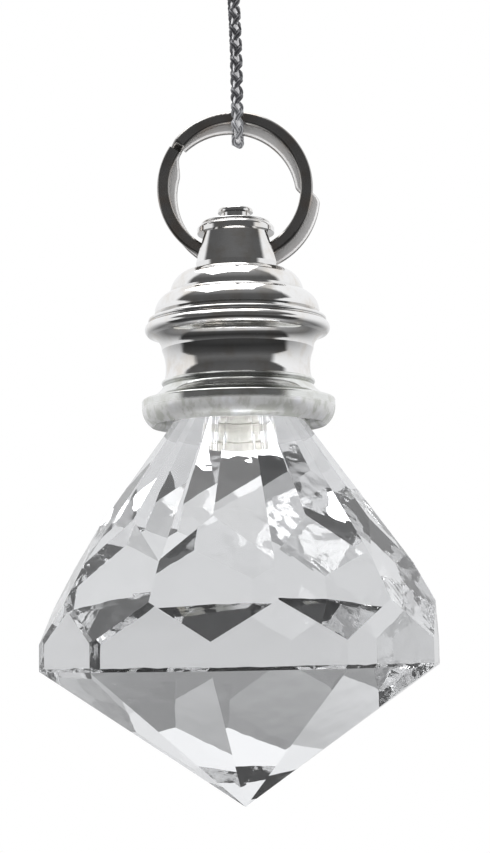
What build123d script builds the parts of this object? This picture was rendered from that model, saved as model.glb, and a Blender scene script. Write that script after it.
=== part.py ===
from build123d import *
from math import cos, radians, sin, tan
import os

# Icicle hanging ornament: a faceted clear drop under a stack of turned metal mouldings, hung from a
# split ring and a metallic cord.
# Frame: millimetres, +Z up, the front faces -Y. The origin is where the hook bears, inside the top of
# the cord's loop. Everything from the ring down is placed by its depth below the top of the ring.

# Cord
CORD_D = 1.5
KNOT_Z = -16.0
KNOT_R = 2.1
KNOT_H = 3.4
KNOT_GAP = 0.15

# Split ring: one wire wound twice. The rear turn is sprung off centre, its free end more so.
# Angles are measured from +X towards +Z. The wire runs clockwise, from the rear tip to the front tip.
RING_TOP = -36.6
RING_R = 10.0
WIRE_RADIAL = 1.6
WIRE_AXIAL = 1.1
COIL_GAP = 0.06
FREE_END_SHIFT = (-0.55, -1.05)
REAR_SHIFT = (0.95, -0.85)
REAR_TIP = 133.0
KINK_START = 9.0
KINK_END = -7.0
EASING_START = -196.0
CROSSING_START = -214.0
CROSSING_END = -221.0
FRONT_TIP = -573.6

# Eye of the cap, where the ring passes
BOSS_R = 5.75
BOSS_TOP = 14.85
BOSS_FOOT = 20.75
BOSS_CAVITY_R = 4.1
SLOT_ROOF = 15.95
SLOT_WIDTH = 5.4

# Stack of mouldings, as depths below the top of the ring
BUTTON_TOP = 12.6
DISC_TOP = 14.0
CAVITY_FLOOR = 21.6
BELL_FOOT = 26.3
RIM_TOP = 26.9
RIM_FOOT = 29.2
COLLAR_FOOT = 34.9
FLANGE_FOOT = 40.7
SEAT = 39.4
DROP_TOP = 40.2

# Fastening
STUD_R = 1.5
STUD_HOLE_R = 1.6
STUD_TOP = 22.7
STUD_FOOT = 46.2
NUT_FLATS = 5.5
NUT_TOP = 22.9
NUT_FOOT = 25.1
SPIGOT_TOP = 25.6
INSERT_R = 2.6
INSERT_FOOT = 46.6

# Cut drop
SIDES = 10
SECTOR = 360 / SIDES
GIRDLE_R = 25.4
GIRDLE_TURN = -8.0
GIRDLE_FLAT_R = GIRDLE_R * cos(radians(SECTOR / 2))
GIRDLE_FOOT = 71.1
TIP = 88.2
SHOULDER = 43.77
SHOULDER_R = 10.8
CROWN_SPREAD = 0.719
WIDE_SHARE = 0.993
KITE_TIP = 67.8
KITE_SPREAD = 0.526


def down(depth):
    """Height of a level given as a depth below the top of the ring."""
    return RING_TOP - depth


def turned(*edges):
    """A solid of revolution about Z from the edges of a closed outline in the XZ plane."""
    return revolve(make_face(Wire(edges)), Axis.Z, 360)


def path(*points):
    """Straight edges through (radius, depth) points."""
    places = [(r, 0, down(depth)) for r, depth in points]
    return [Edge.make_line(a, b) for a, b in zip(places, places[1:])]


def bow(*points):
    """One arc through three (radius, depth) points."""
    return [Edge.make_three_point_arc(*[(r, 0, down(depth)) for r, depth in points])]


def rod(radius, top, foot):
    """A round bar on the Z axis between two depths."""
    return Pos(0, 0, down(foot)) * Cylinder(
        radius, foot - top, align=(Align.CENTER, Align.CENTER, Align.MIN)
    )


def cord_tube(name, points):
    """A cord's tube in the YZ plane: straight runs joined by arcs as large as the runs allow."""
    places = [Vector(0, y, z) for y, z in points]
    radii = []
    for before, corner, after in zip(places, places[1:], places[2:]):
        arriving = corner - before
        leaving = after - corner
        turn = radians(arriving.get_angle(leaving))
        radii.append(0.45 * min(arriving.length, leaving.length) / tan(turn / 2))
    route = FilletPolyline(*places, radius=radii)
    section = Plane(origin=route @ 0, z_dir=route % 0) * Circle(CORD_D / 2)
    tube = sweep(section, path=route)
    exact = route.length * section.area
    print(name, "radii", [round(r, 2) for r in radii], "length", round(route.length, 2),
          "volume", round(tube.volume, 3), "of", round(exact, 3))
    return tube


def hanging_cord():
    """Both legs of the cord, from under the knot down to the ring and round its wire."""
    top = KNOT_Z - KNOT_H / 2 - KNOT_GAP
    ring = RING_TOP
    route = [
        (-0.95, top),
        (-1.12, ring + 10.6),
        (-1.98, ring + 1.6),
        (-2.0, ring - 3.75),
        (2.0, ring - 4.1),
        (1.98, ring + 1.6),
        (1.12, ring + 10.6),
        (0.95, top),
    ]
    return cord_tube("hanging_cord", route)


def top_loop():
    """The loop above the knot, which goes over a hook or a twig."""
    foot = KNOT_Z + KNOT_H / 2
    crown = CORD_D / 2
    route = [
        (-0.85, foot),
        (-0.85, -11.9),
        (-2.7, -9.1),
        (-3.8, -5.8),
        (-3.7, -2.3),
        (-1.8, crown),
        (1.8, crown),
        (3.7, -2.3),
        (3.8, -5.8),
        (2.7, -9.1),
        (0.85, -11.9),
        (0.85, foot),
    ]
    return cord_tube("top_loop", route)


def cord_knot():
    """Outer shape of the overhand knot."""
    blob = Pos(0, 0, KNOT_Z) * Cylinder(KNOT_R, KNOT_H)
    return fillet(blob.edges().filter_by(GeomType.CIRCLE), 0.42)


def wire_section(angle, shift_x, shift_z, y):
    """The wire's rounded section at an angle, on a turn whose centre is shifted by that much."""
    outward = Vector(cos(radians(angle)), 0, sin(radians(angle)))
    centre = Vector(shift_x, y, down(RING_R) + shift_z)
    origin = centre + outward * (RING_R - WIRE_RADIAL / 2)
    plane = Plane(origin=origin, x_dir=outward, z_dir=outward.cross(Vector(0, 1, 0)))
    return plane * RectangleRounded(WIRE_RADIAL, WIRE_AXIAL, 0.4)


def round_stretch(start, end, shift, y):
    """A stretch of wire on one circle, from one angle clockwise to another."""
    axis = Axis((shift[0], 0, down(RING_R) + shift[1]), (0, 1, 0))
    return revolve(wire_section(start, *shift, y), axis, start - end)


def bent_stretch(start, end, shifts, places):
    """A stretch of wire that eases from one circle and one plane to the next."""
    steps = 8
    sections = []
    for i in range(steps + 1):
        t = i / steps
        ease = t * t * (3 - 2 * t)
        shift_x, shift_z = [a + (b - a) * ease for a, b in zip(*shifts)]
        y = places[0] + (places[1] - places[0]) * ease
        sections.append(wire_section(start + (end - start) * t, shift_x, shift_z, y))
    return loft(sections)


def split_ring():
    """The whole wire: free end, kink, rear turn, crossing and front turn."""
    centred = (0.0, 0.0)
    half_pitch = (WIRE_AXIAL + COIL_GAP) / 2
    ring = round_stretch(REAR_TIP, KINK_START, FREE_END_SHIFT, half_pitch)
    ring += bent_stretch(KINK_START, KINK_END, (FREE_END_SHIFT, REAR_SHIFT), (half_pitch, half_pitch))
    ring += round_stretch(KINK_END, EASING_START, REAR_SHIFT, half_pitch)
    ring += bent_stretch(EASING_START, CROSSING_START, (REAR_SHIFT, centred), (half_pitch, half_pitch))
    ring += bent_stretch(CROSSING_START, CROSSING_END, (centred, centred), (half_pitch, -half_pitch))
    return ring + round_stretch(CROSSING_END, FRONT_TIP, centred, -half_pitch)


def finial_button():
    """Domed button whose pin goes through the disc and is clenched under the boss's roof."""
    pin_foot = 17.0
    pin = rod(0.8, DISC_TOP, pin_foot) + rod(1.1, SLOT_ROOF, pin_foot)
    neck = rod(1.85, 13.2, DISC_TOP)
    head = rod(2.25, BUTTON_TOP, 13.2)
    return pin + neck + fillet(head.edges().group_by(Axis.Z)[-1], 0.4)


def finial_disc():
    """Thin saucer between the button and the boss."""
    outline = (
        path((0.8, BOSS_TOP), (3.2, BOSS_TOP), (4.1, 14.78))
        + bow((4.1, 14.78), (4.4, 14.6), (4.2, 14.4))
        + bow((4.2, 14.4), (3.1, 14.13), (1.9, DISC_TOP))
        + path((1.9, DISC_TOP), (0.8, DISC_TOP), (0.8, BOSS_TOP))
    )
    return turned(*outline)


def eye_boss():
    """Hollow boss that traps the bottom of the ring, slotted at both sides for it."""
    outline = (
        path((0.8, BOSS_TOP), (4.2, BOSS_TOP))
        + bow((4.2, BOSS_TOP), (4.75, 14.95), (4.95, 15.35))
        + path((4.95, 15.35), (4.95, 15.9), (4.75, 16.1), (BOSS_R, 20.1), (BOSS_R, BOSS_FOOT))
        + path((BOSS_R, BOSS_FOOT), (BOSS_CAVITY_R, BOSS_FOOT), (BOSS_CAVITY_R, 16.8))
        + bow((BOSS_CAVITY_R, 16.8), (3.85, 16.2), (3.3, SLOT_ROOF))
        + path((3.3, SLOT_ROOF), (0.8, SLOT_ROOF), (0.8, BOSS_TOP))
    )
    slot_height = BOSS_FOOT - SLOT_ROOF
    slot = Pos(0, 0, down(BOSS_FOOT)) * Box(
        4 * BOSS_R, SLOT_WIDTH, slot_height, align=(Align.CENTER, Align.CENTER, Align.MIN)
    )
    return turned(*outline) - slot


def bell_cap():
    """Bell-shaped shell of two convex mouldings, with a recess in its top that clears the ring."""
    outline = (
        path((0, CAVITY_FLOOR), (BOSS_CAVITY_R, CAVITY_FLOOR), (BOSS_CAVITY_R, BOSS_FOOT))
        + path((BOSS_CAVITY_R, BOSS_FOOT), (6.05, BOSS_FOOT))
        + bow((6.05, BOSS_FOOT), (7.75, 21.75), (8.5, 23.4))
        + path((8.5, 23.4), (8.5, 23.7), (8.9, 23.75))
        + bow((8.9, 23.75), (10.05, 24.75), (10.5, BELL_FOOT))
        + path((10.5, BELL_FOOT), (9.4, BELL_FOOT), (9.4, 25.5), (8.9, 24.9), (7.4, 23.75), (6.2, 22.5))
        + path((6.2, 22.5), (0, 22.5), (0, CAVITY_FLOOR))
    )
    return turned(*outline)


def rim_disc():
    """Moulded disc under the bell, with a bead, a groove and a round-edged band."""
    outline = (
        path((STUD_HOLE_R, SPIGOT_TOP), (9.0, SPIGOT_TOP), (9.3, 25.9), (9.3, BELL_FOOT))
        + path((9.3, BELL_FOOT), (9.9, BELL_FOOT), (9.9, RIM_TOP), (11.0, RIM_TOP))
        + bow((11.0, RIM_TOP), (11.35, 27.2), (11.0, 27.5))
        + path((11.0, 27.5), (11.45, 27.65))
        + bow((11.45, 27.65), (11.8, 28.35), (11.45, 29.05))
        + path((11.45, 29.05), (10.9, RIM_FOOT), (STUD_HOLE_R, RIM_FOOT), (STUD_HOLE_R, SPIGOT_TOP))
    )
    return turned(*outline)


def spool_collar():
    """Tapering waist between the rim and the flange, hollow inside."""
    bore = 6.5
    outline = (
        path((bore, RIM_FOOT), (10.9, RIM_FOOT))
        + bow((10.9, RIM_FOOT), (10.1, 29.75), (9.65, 31.0))
        + bow((9.65, 31.0), (9.2, 32.8), (9.4, COLLAR_FOOT))
        + path((9.4, COLLAR_FOOT), (bore, COLLAR_FOOT), (bore, RIM_FOOT))
    )
    return turned(*outline)


def lower_flange():
    """Saucer with a bead at its neck and a thick lip, hollowed underneath round the drop."""
    outline = (
        path((STUD_HOLE_R, COLLAR_FOOT), (9.4, COLLAR_FOOT))
        + bow((9.4, COLLAR_FOOT), (9.75, 35.2), (9.45, 35.5))
        + bow((9.45, 35.5), (10.3, 36.55), (11.85, 37.3))
        + bow((11.85, 37.3), (12.15, 37.4), (12.25, 37.65))
        + path((12.25, 37.65), (12.25, 38.35))
        + bow((12.25, 38.35), (11.95, 39.7), (11.1, FLANGE_FOOT))
        + bow((11.1, FLANGE_FOOT), (10.65, 40.4), (10.4, SEAT))
        + path((10.4, SEAT), (STUD_HOLE_R, SEAT), (STUD_HOLE_R, COLLAR_FOOT))
    )
    return turned(*outline)


def seat_gasket():
    """Soft ring between the flange and the drop."""
    return rod(8.2, SEAT, DROP_TOP) - rod(INSERT_R, SEAT, DROP_TOP)


def thread_insert():
    """Brass bush bonded into the drop, with a collar under the flange."""
    barrel = rod(INSERT_R - 0.25, SEAT, INSERT_FOOT)
    for depth in (SEAT, 42.6, 45.4):
        barrel += rod(INSERT_R, depth, depth + 1.2)
    return barrel - rod(STUD_R, SEAT, STUD_FOOT)


def threaded_stud():
    """Stud that clamps the stack down on the drop, its thread shown by its ends' chamfers."""
    return chamfer(rod(STUD_R, STUD_TOP, STUD_FOOT).edges().filter_by(GeomType.CIRCLE), 0.3)


def stud_nut():
    """Hexagon nut inside the bell."""
    blank = extrude(Plane.XY.offset(down(NUT_FOOT)) * RegularPolygon(NUT_FLATS / 2, 6, major_radius=False),
                    NUT_FOOT - NUT_TOP)
    return blank - rod(STUD_R, NUT_TOP, NUT_FOOT)


def lock_washer():
    """Plain washer under the nut."""
    return rod(3.5, NUT_FOOT, SPIGOT_TOP) - rod(STUD_HOLE_R, NUT_FOOT, SPIGOT_TOP)


def cut(blank, azimuth, radius, depth, spread):
    """Grind one flat on the blank.

    The flat faces that azimuth, measured from the front (-Y) towards +X. It stands that radius from
    the axis at that depth, and spreads outwards by that much for each millimetre further down.
    """
    facing = Vector(sin(radians(azimuth)), -cos(radians(azimuth)), 0)
    normal = facing + Vector(0, 0, spread)
    flat = Plane(origin=facing * radius + Vector(0, 0, down(depth)), z_dir=normal)
    return split(blank, bisect_by=flat, keep=Keep.BOTTOM)


def drop_blank():
    """The blank before cutting: a rounded neck that flares just outside the crown's flats."""
    clear = 0.22
    flare_depth = 41.9
    flare_r = SHOULDER_R + clear + (flare_depth - SHOULDER) * CROWN_SPREAD
    wide = 30.0
    wide_depth = flare_depth + (wide - flare_r) / CROWN_SPREAD
    outline = (
        path((0, DROP_TOP), (8.3, DROP_TOP))
        + bow((8.3, DROP_TOP), (9.15, 40.75), (flare_r, flare_depth))
        + path((flare_r, flare_depth), (wide, wide_depth), (wide, 90), (0, 90), (0, DROP_TOP))
    )
    return turned(*outline)


def crystal_drop():
    """The cut drop: long crown facets, kites down to the girdle, a flat-sided girdle and a pointed base."""
    drop = drop_blank()
    base_spread = -GIRDLE_FLAT_R / (TIP - GIRDLE_FOOT)
    for i in range(SIDES):
        turn = i * SECTOR
        drop = cut(drop, turn, SHOULDER_R * WIDE_SHARE, SHOULDER, CROWN_SPREAD * WIDE_SHARE)
        drop = cut(drop, turn + SECTOR / 2, SHOULDER_R, SHOULDER, CROWN_SPREAD)
        drop = cut(drop, turn + GIRDLE_TURN, GIRDLE_R, KITE_TIP, KITE_SPREAD)
        flat_turn = turn + GIRDLE_TURN + SECTOR / 2
        drop = cut(drop, flat_turn, GIRDLE_FLAT_R, GIRDLE_FOOT, 0)
        drop = cut(drop, flat_turn, GIRDLE_FLAT_R, GIRDLE_FOOT, base_spread)
    return drop - rod(INSERT_R, DROP_TOP, INSERT_FOOT)


NODES = [
    hanging_cord, top_loop, cord_knot, split_ring, finial_button, finial_disc, eye_boss, bell_cap,
    rim_disc, spool_collar, lower_flange, seat_gasket, thread_insert, threaded_stud, stud_nut,
    lock_washer, crystal_drop,
]

os.makedirs("parts", exist_ok=True)
for make in NODES:
    export_step(make(), f"parts/{make.__name__}.step")
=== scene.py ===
from math import cos, pi, radians, sin

import bpy
from mathutils import Matrix, Vector


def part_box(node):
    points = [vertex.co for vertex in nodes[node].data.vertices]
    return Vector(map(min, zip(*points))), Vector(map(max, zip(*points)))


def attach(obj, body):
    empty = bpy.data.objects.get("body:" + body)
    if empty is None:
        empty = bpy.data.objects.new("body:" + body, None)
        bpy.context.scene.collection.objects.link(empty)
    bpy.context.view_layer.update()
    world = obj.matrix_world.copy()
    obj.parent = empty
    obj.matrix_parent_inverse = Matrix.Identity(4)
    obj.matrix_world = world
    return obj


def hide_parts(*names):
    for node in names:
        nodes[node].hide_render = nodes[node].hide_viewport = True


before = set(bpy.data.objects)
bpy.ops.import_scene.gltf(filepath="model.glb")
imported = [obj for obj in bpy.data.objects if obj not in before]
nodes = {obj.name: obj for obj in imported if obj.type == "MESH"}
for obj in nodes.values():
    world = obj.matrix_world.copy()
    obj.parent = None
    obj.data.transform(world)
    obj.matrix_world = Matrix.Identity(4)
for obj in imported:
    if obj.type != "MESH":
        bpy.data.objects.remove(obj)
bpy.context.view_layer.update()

MM = 0.001
RING_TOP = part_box("split_ring")[1][2] / MM

# ---------------------------------------------------------------- camera
CAMERA_X = 0.75
CAMERA_Y = -235.0
CAMERA_BELOW_RING = 67.66
PITCH = radians(6.527)
ROLL = radians(1.0)

cam_data = bpy.data.cameras.new("camera")
cam_data.sensor_fit = "VERTICAL"
cam_data.sensor_height = 24.0
cam_data.lens = 52.5
cam_data.clip_start = 0.01
camera = bpy.data.objects.new("camera", cam_data)
bpy.context.scene.collection.objects.link(camera)
forward = Vector((0, cos(PITCH), sin(PITCH)))
level_up = Vector((0, -sin(PITCH), cos(PITCH)))
right = Vector((cos(ROLL), 0, 0)) - level_up * sin(ROLL)
up = level_up * cos(ROLL) + Vector((sin(ROLL), 0, 0))
turn = Matrix((right, up, -forward)).transposed().to_4x4()
place = Vector((CAMERA_X, CAMERA_Y, RING_TOP - CAMERA_BELOW_RING)) * MM
camera.matrix_world = Matrix.Translation(place) @ turn
bpy.context.scene.camera = camera


# ---------------------------------------------------------------- mesh helpers
SPLINE_STEPS = 24


def new_object(name, verts, faces, smooth=True):
    mesh = bpy.data.meshes.new(name)
    mesh.from_pydata([tuple(v) for v in verts], [], faces)
    mesh.validate()
    mesh.update()
    mesh.polygons.foreach_set("use_smooth", [smooth] * len(mesh.polygons))
    obj = bpy.data.objects.new(name, mesh)
    bpy.context.scene.collection.objects.link(obj)
    return obj


def spline_points(name, points):
    """Points along the NURBS spline whose control points (in mm) are given, in metres."""
    data = bpy.data.curves.new(name, "CURVE")
    data.dimensions = "3D"
    data.resolution_u = SPLINE_STEPS
    spline = data.splines.new("NURBS")
    spline.points.add(len(points) - 1)
    for point, (x, y, z) in zip(spline.points, points):
        point.co = (x * MM, y * MM, z * MM, 1.0)
    spline.order_u = 3
    spline.use_endpoint_u = True
    curve = bpy.data.objects.new(name, data)
    bpy.context.scene.collection.objects.link(curve)
    bpy.context.view_layer.update()
    mesh = bpy.data.meshes.new_from_object(curve)
    found = [v.co.copy() for v in mesh.vertices]
    bpy.data.objects.remove(curve)
    bpy.data.meshes.remove(mesh)
    bpy.data.curves.remove(data)
    return found


def even_points(points, step):
    """The same line with points a fixed step apart, ending at the same place."""
    out = [points[0].copy()]
    left = step
    for a, b in zip(points, points[1:]):
        run = (b - a).length
        done = 0.0
        while run - done >= left:
            done += left
            out.append(a.lerp(b, done / run))
            left = step
        left -= run - done
    if (points[-1] - out[-1]).length > step * 0.3:
        out.append(points[-1].copy())
    return out


def frames_along(points, side):
    """(tangent, side, normal) at each point, the side vector carried along without twist."""
    out = []
    carried = side.normalized()
    for i, point in enumerate(points):
        before = points[max(i - 1, 0)]
        after = points[min(i + 1, len(points) - 1)]
        tangent = (after - before).normalized()
        carried = (carried - tangent * carried.dot(tangent)).normalized()
        out.append((tangent, carried, tangent.cross(carried)))
    return out


# ---------------------------------------------------------------- cord
STITCH = 2.15
LAY = 2 * STITCH
STRAND_ORBIT = 0.35
STRAND_DIVE = 0.27
STRAND_R = 0.30
CORE_R = 0.44
STAGGER = pi / 3
STRAND_PLIES = 5
PLY_DEPTH = 0.13
PLY_TWIST = 2.4
STRAND_SIDES = 15
STEP = 0.14


def braid(name, line, side):
    """Four strands laid round a line, two each way, each one diving into the core past the middle."""
    points = even_points(line, STEP * MM)
    axes = frames_along(points, side)
    verts = []
    faces = []
    shade = []
    core = []
    for k in range(5):
        way = 1 if k < 2 else -1
        offset = pi * (k % 2) + (0 if way > 0 else STAGGER)
        inner = k == 4
        radius = CORE_R if inner else STRAND_R
        centres = []
        for i, (point, (_, across, out)) in enumerate(zip(points, axes)):
            turned = way * 2 * pi * i * STEP / LAY + offset
            orbit = 0.0 if inner else STRAND_ORBIT - way * STRAND_DIVE * sin(2 * turned)
            reach = orbit * MM
            centres.append(point + out * (reach * cos(turned)) + across * (reach * sin(turned)))
        strand_axes = frames_along(centres, side)
        first = len(verts)
        for i, (centre, (_, across, out)) in enumerate(zip(centres, strand_axes)):
            for j in range(STRAND_SIDES):
                angle = 2 * pi * j / STRAND_SIDES
                ply = cos(STRAND_PLIES * angle + PLY_TWIST * i * STEP * way)
                reach = radius * (1 + PLY_DEPTH * ply) * MM
                verts.append(centre + out * (reach * cos(angle)) + across * (reach * sin(angle)))
                # This wave is also kept as the "ply" attribute, with which the material paints the
                # grooves between plies near-black: painted shade.
                shade.append(0.5 + 0.5 * ply)
                # The core is flagged by the "core" attribute, with which the material paints it
                # near-white: painted highlight.
                core.append(1.0 if inner else 0.0)
        rings = len(centres)
        for i in range(rings - 1):
            for j in range(STRAND_SIDES):
                a = first + i * STRAND_SIDES + j
                b = first + i * STRAND_SIDES + (j + 1) % STRAND_SIDES
                faces.append((a, b, b + STRAND_SIDES, a + STRAND_SIDES))
        faces.append([first + j for j in reversed(range(STRAND_SIDES))])
        faces.append([first + (rings - 1) * STRAND_SIDES + j for j in range(STRAND_SIDES)])
    obj = new_object(name, verts, faces)
    attribute = obj.data.attributes.new("ply", "FLOAT", "POINT")
    attribute.data.foreach_set("value", shade)
    attribute = obj.data.attributes.new("core", "FLOAT", "POINT")
    attribute.data.foreach_set("value", core)
    return obj, points


LEAN = 0.45
ring = RING_TOP
hanging_line = spline_points("hanging_route", [
    (0.1, -0.95, -17.85),
    (LEAN, -1.12, ring + 10.6),
    (LEAN, -1.98, ring + 1.6),
    (LEAN, -2.0, ring - 3.6),
    (LEAN, 2.05, ring - 3.95),
    (LEAN, 1.98, ring + 1.6),
    (LEAN, 1.12, ring + 10.6),
    (0.1, 0.95, -17.85),
])
loop_line = spline_points("loop_route", [
    (0, -0.85, -14.3),
    (0, -0.85, -11.9),
    (0, -2.7, -9.1),
    (0, -3.8, -5.8),
    (0, -3.7, -2.3),
    (0, -1.8, 0.75),
    (0, 1.8, 0.75),
    (0, 3.7, -2.3),
    (0, 3.8, -5.8),
    (0, 2.7, -9.1),
    (0, 0.85, -11.9),
    (0, 0.85, -14.3),
])
knot_line = spline_points("knot_route", [
    (0.5, -0.9, -17.6),
    (-1.3, -1.3, -17.2),
    (-1.5, 1.3, -17.0),
    (1.4, 1.5, -16.7),
    (1.5, -1.4, -16.3),
    (-1.4, -1.5, -15.9),
    (-1.5, 1.4, -15.5),
    (1.3, 1.4, -15.1),
    (1.4, -1.2, -14.9),
    (-0.6, -0.8, -14.5),
])

across = Vector((1, 0, 0))
cord_piece, hanging_path = braid("cord_legs", hanging_line, across)
loop_piece, loop_path = braid("cord_loop", loop_line, across)
knot_piece, knot_path = braid("cord_overhand_knot", knot_line, Vector((0, 0, 1)))

for piece, node, body in (
    (cord_piece, "hanging_cord", "hanger"),
    (loop_piece, "top_loop", "loop"),
    (knot_piece, "cord_knot", "loop"),
):
    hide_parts(node)
    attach(piece, body)


# ---------------------------------------------------------------- material helpers
class Nodes:
    """Short calls that add nodes to one node tree."""

    def __init__(self, tree):
        self.tree = tree

    def node(self, kind, **settings):
        made = self.tree.nodes.new("ShaderNode" + kind)
        for key, value in settings.items():
            if hasattr(made, key):
                setattr(made, key, value)
            else:
                made.inputs[key.replace("_", " ")].default_value = value
        return made

    def plug(self, value, socket):
        """Feed a socket from another node's output, a colour or one number."""
        if hasattr(value, "is_output"):
            self.tree.links.new(value, socket)
        elif isinstance(value, tuple):
            socket.default_value = (*value, 1.0)
        elif socket.type == "RGBA":
            socket.default_value = (value, value, value, 1.0)
        else:
            socket.default_value = value

    def mix(self, factor, a, b, blend="MIX"):
        mix = self.node("Mix", data_type="RGBA", blend_type=blend)
        for value, socket in ((factor, mix.inputs[0]), (a, mix.inputs[6]), (b, mix.inputs[7])):
            self.plug(value, socket)
        return mix.outputs[2]

    def ranged(self, value, low, high, **settings):
        """0 to 1 as the value goes from low to high."""
        made = self.node("MapRange", **settings)
        made.inputs["From Min"].default_value = low
        made.inputs["From Max"].default_value = high
        self.plug(value, made.inputs["Value"])
        return made.outputs["Result"]

    def math(self, operation, *values):
        made = self.node("Math", operation=operation)
        for value, socket in zip(values, made.inputs):
            self.plug(value, socket)
        return made.outputs["Value"]

    def ramp(self, value, stops, interpolation="EASE"):
        ramp = self.node("ValToRGB")
        ramp.color_ramp.interpolation = interpolation
        while len(ramp.color_ramp.elements) < len(stops):
            ramp.color_ramp.elements.new(0.5)
        for element, (where, colour) in zip(ramp.color_ramp.elements, stops):
            element.position = where
            if not isinstance(colour, tuple):
                colour = (colour, colour, colour)
            element.color = (*colour, 1.0)
        self.plug(value, ramp.inputs["Fac"])
        return ramp.outputs["Color"]


class Shader(Nodes):
    """A node material with one Principled shader."""

    def __init__(self, name, **constants):
        self.material = bpy.data.materials.new(name)
        self.material.use_nodes = True
        super().__init__(self.material.node_tree)
        self.main = self.tree.nodes["Principled BSDF"]
        for key, value in constants.items():
            self.main.inputs[key.replace("_", " ")].default_value = value

    def vary(self, **values):
        """Feed the shader's sockets with values that change over the surface."""
        for key, value in values.items():
            self.plug(value, self.main.inputs[key.replace("_", " ")])

    def noise(self, scale, detail=3.0, stretch=(1, 1, 1), roughness=0.5):
        coords = self.node("TexCoord")
        mapping = self.node("Mapping")
        mapping.inputs["Scale"].default_value = stretch
        self.plug(coords.outputs["Object"], mapping.inputs["Vector"])
        noise = self.node("TexNoise", Scale=scale, Detail=detail, Roughness=roughness)
        self.plug(mapping.outputs["Vector"], noise.inputs["Vector"])
        return noise.outputs["Fac"]

    def bump(self, height, strength, distance):
        bump = self.node("Bump", Strength=strength, Distance=distance)
        self.plug(height, bump.inputs["Height"])
        self.plug(bump.outputs["Normal"], self.main.inputs["Normal"])

    def along(self, space, axis):
        """The place (Object) or the surface's direction (Normal) along one of the object's axes."""
        coords = self.node("TexCoord")
        split = self.node("SeparateXYZ")
        self.plug(coords.outputs[space], split.inputs["Vector"])
        return split.outputs[axis]

    def depth_band(self, start, end):
        """0 to 1 from one depth below the top of the ring to another, in millimetres."""
        return self.ranged(self.along("Object", "Z"), (ring - start) * MM, (ring - end) * MM)


def paint(material, *names):
    for name in names:
        obj = nodes.get(name) or bpy.data.objects[name]
        if not obj.data.materials:
            obj.data.materials.append(None)
        for i in range(len(obj.data.materials)):
            obj.data.materials[i] = material


# ---------------------------------------------------------------- cord material
thread = Shader("metallic_thread", Metallic=0.55, Roughness=0.38)
ply = thread.node("Attribute", attribute_name="ply")
core = thread.node("Attribute", attribute_name="core")
fibres = thread.noise(9000.0, 4.0, (1.0, 1.0, 0.25))
patches = thread.noise(700.0, 2.0)
grey = thread.ramp(patches, [(0.3, (0.10, 0.10, 0.11)), (0.7, (0.24, 0.24, 0.255))])
silver = thread.mix(thread.ramp(fibres, [(0.45, 0.0), (0.8, 0.6)]), grey, (0.70, 0.70, 0.72))
at_ring = thread.depth_band(-0.8, 2.2)
lighter = thread.mix(at_ring, silver, (0.72, 0.73, 0.76))
# Painted shade: the grooves between plies are painted near-black and the ply crests keep the strands'
# colour.
strands = thread.mix(ply.outputs["Fac"], (0.03, 0.03, 0.033), lighter)
# Painted highlight: the core strand is painted near-white where it shows between the strands.
thread.vary(Base_Color=thread.mix(core.outputs["Fac"], strands, (0.95, 0.95, 0.96)))
thread.bump(fibres, 0.35, 0.00005)
paint(thread.material, "cord_legs", "cord_loop", "cord_overhand_knot")


# ---------------------------------------------------------------- metals
def nickel(name, base, low, high, scratch, tint):
    """Polished plate with fine scratches, uneven gloss and a mottled tint: its gloss and its colour."""
    plate = Shader(name, Metallic=1.0)
    cloud = plate.noise(260.0, 5.0)
    scratches = plate.noise(900.0, 6.0, (1.0, 1.0, 9.0), 0.65)
    gloss = plate.ramp(cloud, [(0.3, low), (0.72, high)])
    colour = plate.mix(plate.ramp(plate.noise(420.0, 4.0), [(0.42, 0.0), (0.75, 1.0)]), base, tint)
    plate.vary(Roughness=gloss, Base_Color=colour)
    plate.bump(scratches, scratch, 0.00004)
    return plate, gloss, colour


def dull(plate, gloss, colour, where, roughness, tone, metallic):
    """Make a plate duller where a mask is 1."""
    plate.vary(
        Roughness=plate.mix(where, gloss, roughness),
        Base_Color=plate.mix(where, colour, tone),
        Metallic=plate.mix(where, 1.0, metallic),
    )


# The rear turn of the ring is painted near-white, dull and barely metallic on the faces that look
# forwards: a painted reflection.
ring_plate, ring_gloss, ring_colour = nickel(
    "ring_plate", (0.44, 0.43, 0.42), 0.12, 0.24, 0.10, (0.42, 0.37, 0.33)
)
rear_turn = ring_plate.ranged(ring_plate.along("Object", "Y"), 0.0, 0.05 * MM)
forwards = ring_plate.ramp(
    ring_plate.ranged(ring_plate.along("Normal", "Y"), -0.45, -0.8), [(0.0, 0.0), (1.0, 1.0)]
)
# Painted reflection: a near-white tone on the rear turn's forward faces.
rear_painted_reflection = ring_plate.mix(1.0, rear_turn, forwards, "MULTIPLY")
dull(ring_plate, ring_gloss, ring_colour, rear_painted_reflection, 0.55, (0.94, 0.93, 0.92), 0.12)
paint(ring_plate.material, "split_ring")

CAP_PIECES = ("finial_button", "finial_disc", "eye_boss", "bell_cap", "rim_disc", "spool_collar")
cap_plate, _, _ = nickel("cap_plate", (0.90, 0.895, 0.89), 0.05, 0.11, 0.06, (0.80, 0.76, 0.71))
paint(cap_plate.material, *CAP_PIECES)

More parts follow.
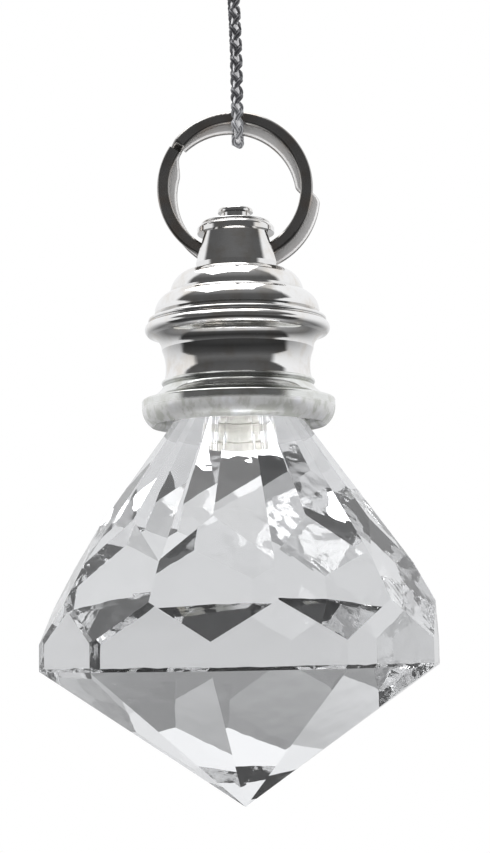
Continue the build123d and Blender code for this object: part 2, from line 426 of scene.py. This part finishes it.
# The flange is mottled below its upright band.
LIP_TOP = 38.2
LIP_FADE = 0.35
lip_plate, lip_gloss, lip_colour = nickel(
    "lip_plate", (0.84, 0.85, 0.83), 0.07, 0.18, 0.12, (0.66, 0.66, 0.61)
)
mottle = lip_plate.ramp(
    lip_plate.noise(620.0, 5.0, (1.0, 1.0, 0.6), 0.6),
    [(0.40, (0.60, 0.61, 0.57)), (0.54, (0.78, 0.78, 0.77)), (0.68, (0.88, 0.88, 0.92))],
)
under = lip_plate.depth_band(LIP_TOP, LIP_TOP + LIP_FADE)
dull(lip_plate, lip_gloss, lip_colour, under, 0.27, mottle, 0.55)
paint(lip_plate.material, "lower_flange")

brass = Shader("machined_brass", Metallic=1.0, Roughness=0.22)
turnings = brass.noise(300.0, 4.0, (1, 1, 40))
brass.vary(Base_Color=brass.ramp(turnings, [(0.3, (0.62, 0.60, 0.54)), (0.7, (0.84, 0.82, 0.75))]))
brass.bump(turnings, 0.2, 0.00003)
paint(brass.material, "thread_insert")

steel = Shader("bright_steel", Metallic=1.0, Roughness=0.28)
grain = steel.noise(500.0, 4.0, (1, 1, 12))
steel.vary(Base_Color=steel.ramp(grain, [(0.3, 0.48), (0.7, 0.68)]))
steel.bump(grain, 0.15, 0.00003)
paint(steel.material, "threaded_stud", "stud_nut", "lock_washer")

silicone = Shader("soft_gasket", Roughness=0.45)
silicone.vary(Base_Color=silicone.ramp(silicone.noise(500.0), [(0.3, 0.70), (0.7, 0.82)]))
paint(silicone.material, "seat_gasket")

# ---------------------------------------------------------------- crystal
# Depths between which the kites' ripples fade in and out
RIPPLES_IN = (57.0, 59.0)
RIPPLES_OUT = (67.5, 66.0)

clear = Shader("clear_acrylic", Transmission_Weight=0.975, IOR=1.49, Roughness=0.0)
clear.main.inputs["Base Color"].default_value = (0.975, 0.982, 0.992, 1.0)
waves = clear.noise(150.0, 2.0)
clear_coords = clear.node("TexCoord")
ripples = clear.node(
    "TexWave", bands_direction="DIAGONAL", Scale=430.0, Distortion=3.0, Detail=2.0, Detail_Scale=0.6
)
clear.plug(clear_coords.outputs["Object"], ripples.inputs["Vector"])
in_kites = clear.mix(1.0, clear.depth_band(*RIPPLES_OUT), clear.depth_band(*RIPPLES_IN), "MULTIPLY")
patchy = clear.ramp(clear.noise(60.0, 1.0), [(0.48, 0.0), (0.60, 1.0)])
marks = clear.mix(1.0, in_kites, patchy, "MULTIPLY")
lines = clear.mix(1.0, ripples.outputs["Fac"], marks, "MULTIPLY")
clear.bump(clear.mix(0.06, waves, lines, "ADD"), 0.10, 0.0006)
paint(clear.material, "crystal_drop")

# Polished facets meet in narrow rounded edges.
FACET_EDGE = 0.24
WELD_REACH = 0.002
SMALLEST_TURN = radians(10.0)

drop = bpy.data.objects["crystal_drop"]
weld = drop.modifiers.new("weld", "WELD")
weld.merge_threshold = WELD_REACH * MM
bevel = drop.modifiers.new("bevel", "BEVEL")
bevel.width = FACET_EDGE * MM
bevel.segments = 2
bevel.limit_method = "ANGLE"
bevel.angle_limit = SMALLEST_TURN
drop.modifiers.new("normals", "WEIGHTED_NORMAL").weight = 100

# ---------------------------------------------------------------- studio
world = bpy.data.worlds.new("studio")
bpy.context.scene.world = world
world.use_nodes = True
around = Nodes(world.node_tree)
coords = around.node("TexCoord")
parts = around.node("SeparateXYZ")
around.plug(coords.outputs["Generated"], parts.inputs["Vector"])


def sky(*stops):
    """Grey tones by the sine of the elevation, from straight down to straight up."""
    place = around.math("MULTIPLY_ADD", parts.outputs["Z"], 0.5, 0.5)
    tones = [(0.5 + 0.5 * height, (tone, tone * 1.005, tone * 1.015)) for height, tone in stops]
    return around.ramp(place, tones, "LINEAR")


# What polished metal mirrors: a dark room in front, white screens behind and beside
metal_front = sky(
    (-1, 0.62), (-0.80, 0.58), (-0.70, 0.10), (-0.6, 0.06), (-0.35, 0.03), (-0.12, 0.06), (0.08, 0.13),
    (0.3, 0.08), (0.6, 0.10), (0.75, 0.20), (0.9, 0.28), (1.0, 0.38),
)
metal_back = sky(
    (-1, 0.62), (-0.80, 0.30), (-0.5, 0.16), (-0.28, 0.42), (-0.08, 0.66), (0.1, 0.84), (0.3, 0.93),
    (0.85, 0.95), (1.0, 0.40),
)
wings = sky((-1, 0.0), (-0.12, 0.0), (0.0, 0.42), (0.28, 0.42), (0.42, 0.0), (1, 0.0))
turned_away = around.math("ADD", parts.outputs["Y"], around.math("MULTIPLY", parts.outputs["X"], 0.12))
sideways = around.math("ADD", turned_away, wings)
metal = around.mix(
    around.ranged(sideways, -0.10, 0.10, interpolation_type="SMOOTHSTEP"), metal_front, metal_back
)

# What shows through the clear drop
glass_front = sky(
    (-1, 0.62), (-0.5, 0.72), (-0.1, 0.55), (0.08, 0.12), (0.16, 0.02), (0.38, 0.01), (0.5, 0.45),
    (1.0, 0.85),
)
glass_back = sky(
    (-1, 0.60), (-0.64, 0.48), (-0.55, 0.68), (-0.2, 0.68), (0.0, 0.62), (0.08, 0.40), (0.13, 0.26),
    (0.27, 0.26), (0.36, 0.6), (0.44, 1.05), (1.0, 0.9),
)
glass = around.mix(
    around.ranged(parts.outputs["Y"], -0.2, 0.2, interpolation_type="SMOOTHSTEP"), glass_front, glass_back
)

ray = around.node("LightPath")
light = around.mix(ray.outputs["Is Glossy Ray"], (1.0, 1.0, 1.01), metal)
light = around.mix(ray.outputs["Is Transmission Ray"], light, glass)
light = around.mix(ray.outputs["Is Camera Ray"], light, (1.0, 1.0, 1.0))
around.plug(light, around.tree.nodes["Background"].inputs["Color"])

FLOOR_Z = -0.30
FLOOR_R = 1.2
FLOOR_SIDES = 96
corners = [2 * pi * i / FLOOR_SIDES for i in range(FLOOR_SIDES)]
rim = [(FLOOR_R * cos(corner), FLOOR_R * sin(corner), FLOOR_Z) for corner in corners]
floor = new_object("floor", rim, [list(range(FLOOR_SIDES))], smooth=False)
pale = Shader("pale_floor", Roughness=0.9)
pale.main.inputs["Base Color"].default_value = (0.93, 0.93, 0.93, 1.0)
paint(pale.material, "floor")
floor.visible_glossy = False
floor.visible_transmission = False


def soft_light(name, place, aim, size, power):
    data = bpy.data.lights.new(name, "AREA")
    data.shape = "RECTANGLE"
    data.size, data.size_y = size
    data.energy = power
    lamp = bpy.data.objects.new(name, data)
    bpy.context.scene.collection.objects.link(lamp)
    lamp.location = place
    lamp.rotation_euler = (Vector(aim) - Vector(place)).to_track_quat("-Z", "Y").to_euler()
    lamp.visible_camera = False


centre = (0, 0, -0.08)
soft_light("overhead", (-0.1, 0.0, 0.55), centre, (0.6, 0.6), 3.0)

scene = bpy.context.scene
scene.view_settings.view_transform = "Standard"
scene.cycles.max_bounces = 32
scene.cycles.transmission_bounces = 32
scene.cycles.glossy_bounces = 8
